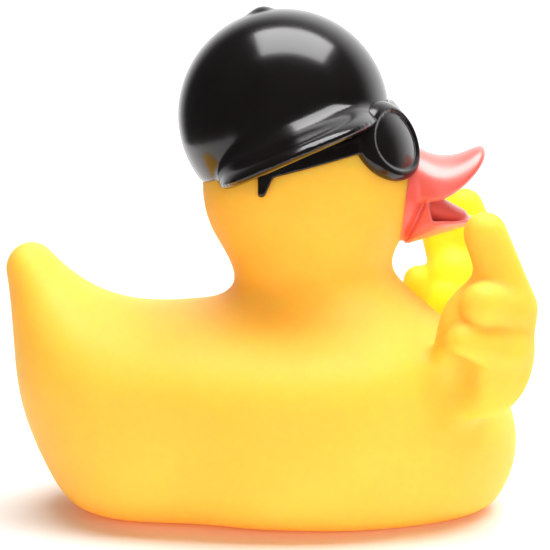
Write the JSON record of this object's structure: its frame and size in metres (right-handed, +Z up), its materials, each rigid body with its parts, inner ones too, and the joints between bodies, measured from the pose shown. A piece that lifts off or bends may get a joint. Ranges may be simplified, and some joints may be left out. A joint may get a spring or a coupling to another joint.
{
  "type": "rubber duck",
  "caption": "Hollow soft-vinyl bath duck with raised hands, open bill, sunglasses and a sideways cap, with a squeaker set in its flat base.",
  "frame": {"origin": "on the flat base, in the duck's plane of symmetry, under the back of the neck", "axes": "+X to the front, the way the bill points; +Y to the duck's left; +Z up through the cap"},
  "size_m": [0.0905, 0.066, 0.0878],
  "materials": {
    "yellow_vinyl": "soft satin vinyl, slightly translucent",
    "black_gloss_paint": "glossy sprayed paint",
    "coral_paint": "semi-gloss sprayed paint",
    "squeaker_plastic": "matt moulded polyethylene",
    "reed_brass": "rolled strip"
  },
  "bodies": {
    "root": {"duck_body": "yellow_vinyl", "squeaker_barrel": "squeaker_plastic", "squeaker_plug": "squeaker_plastic", "squeaker_reed": "reed_brass"}
  },
  "joints": []
}
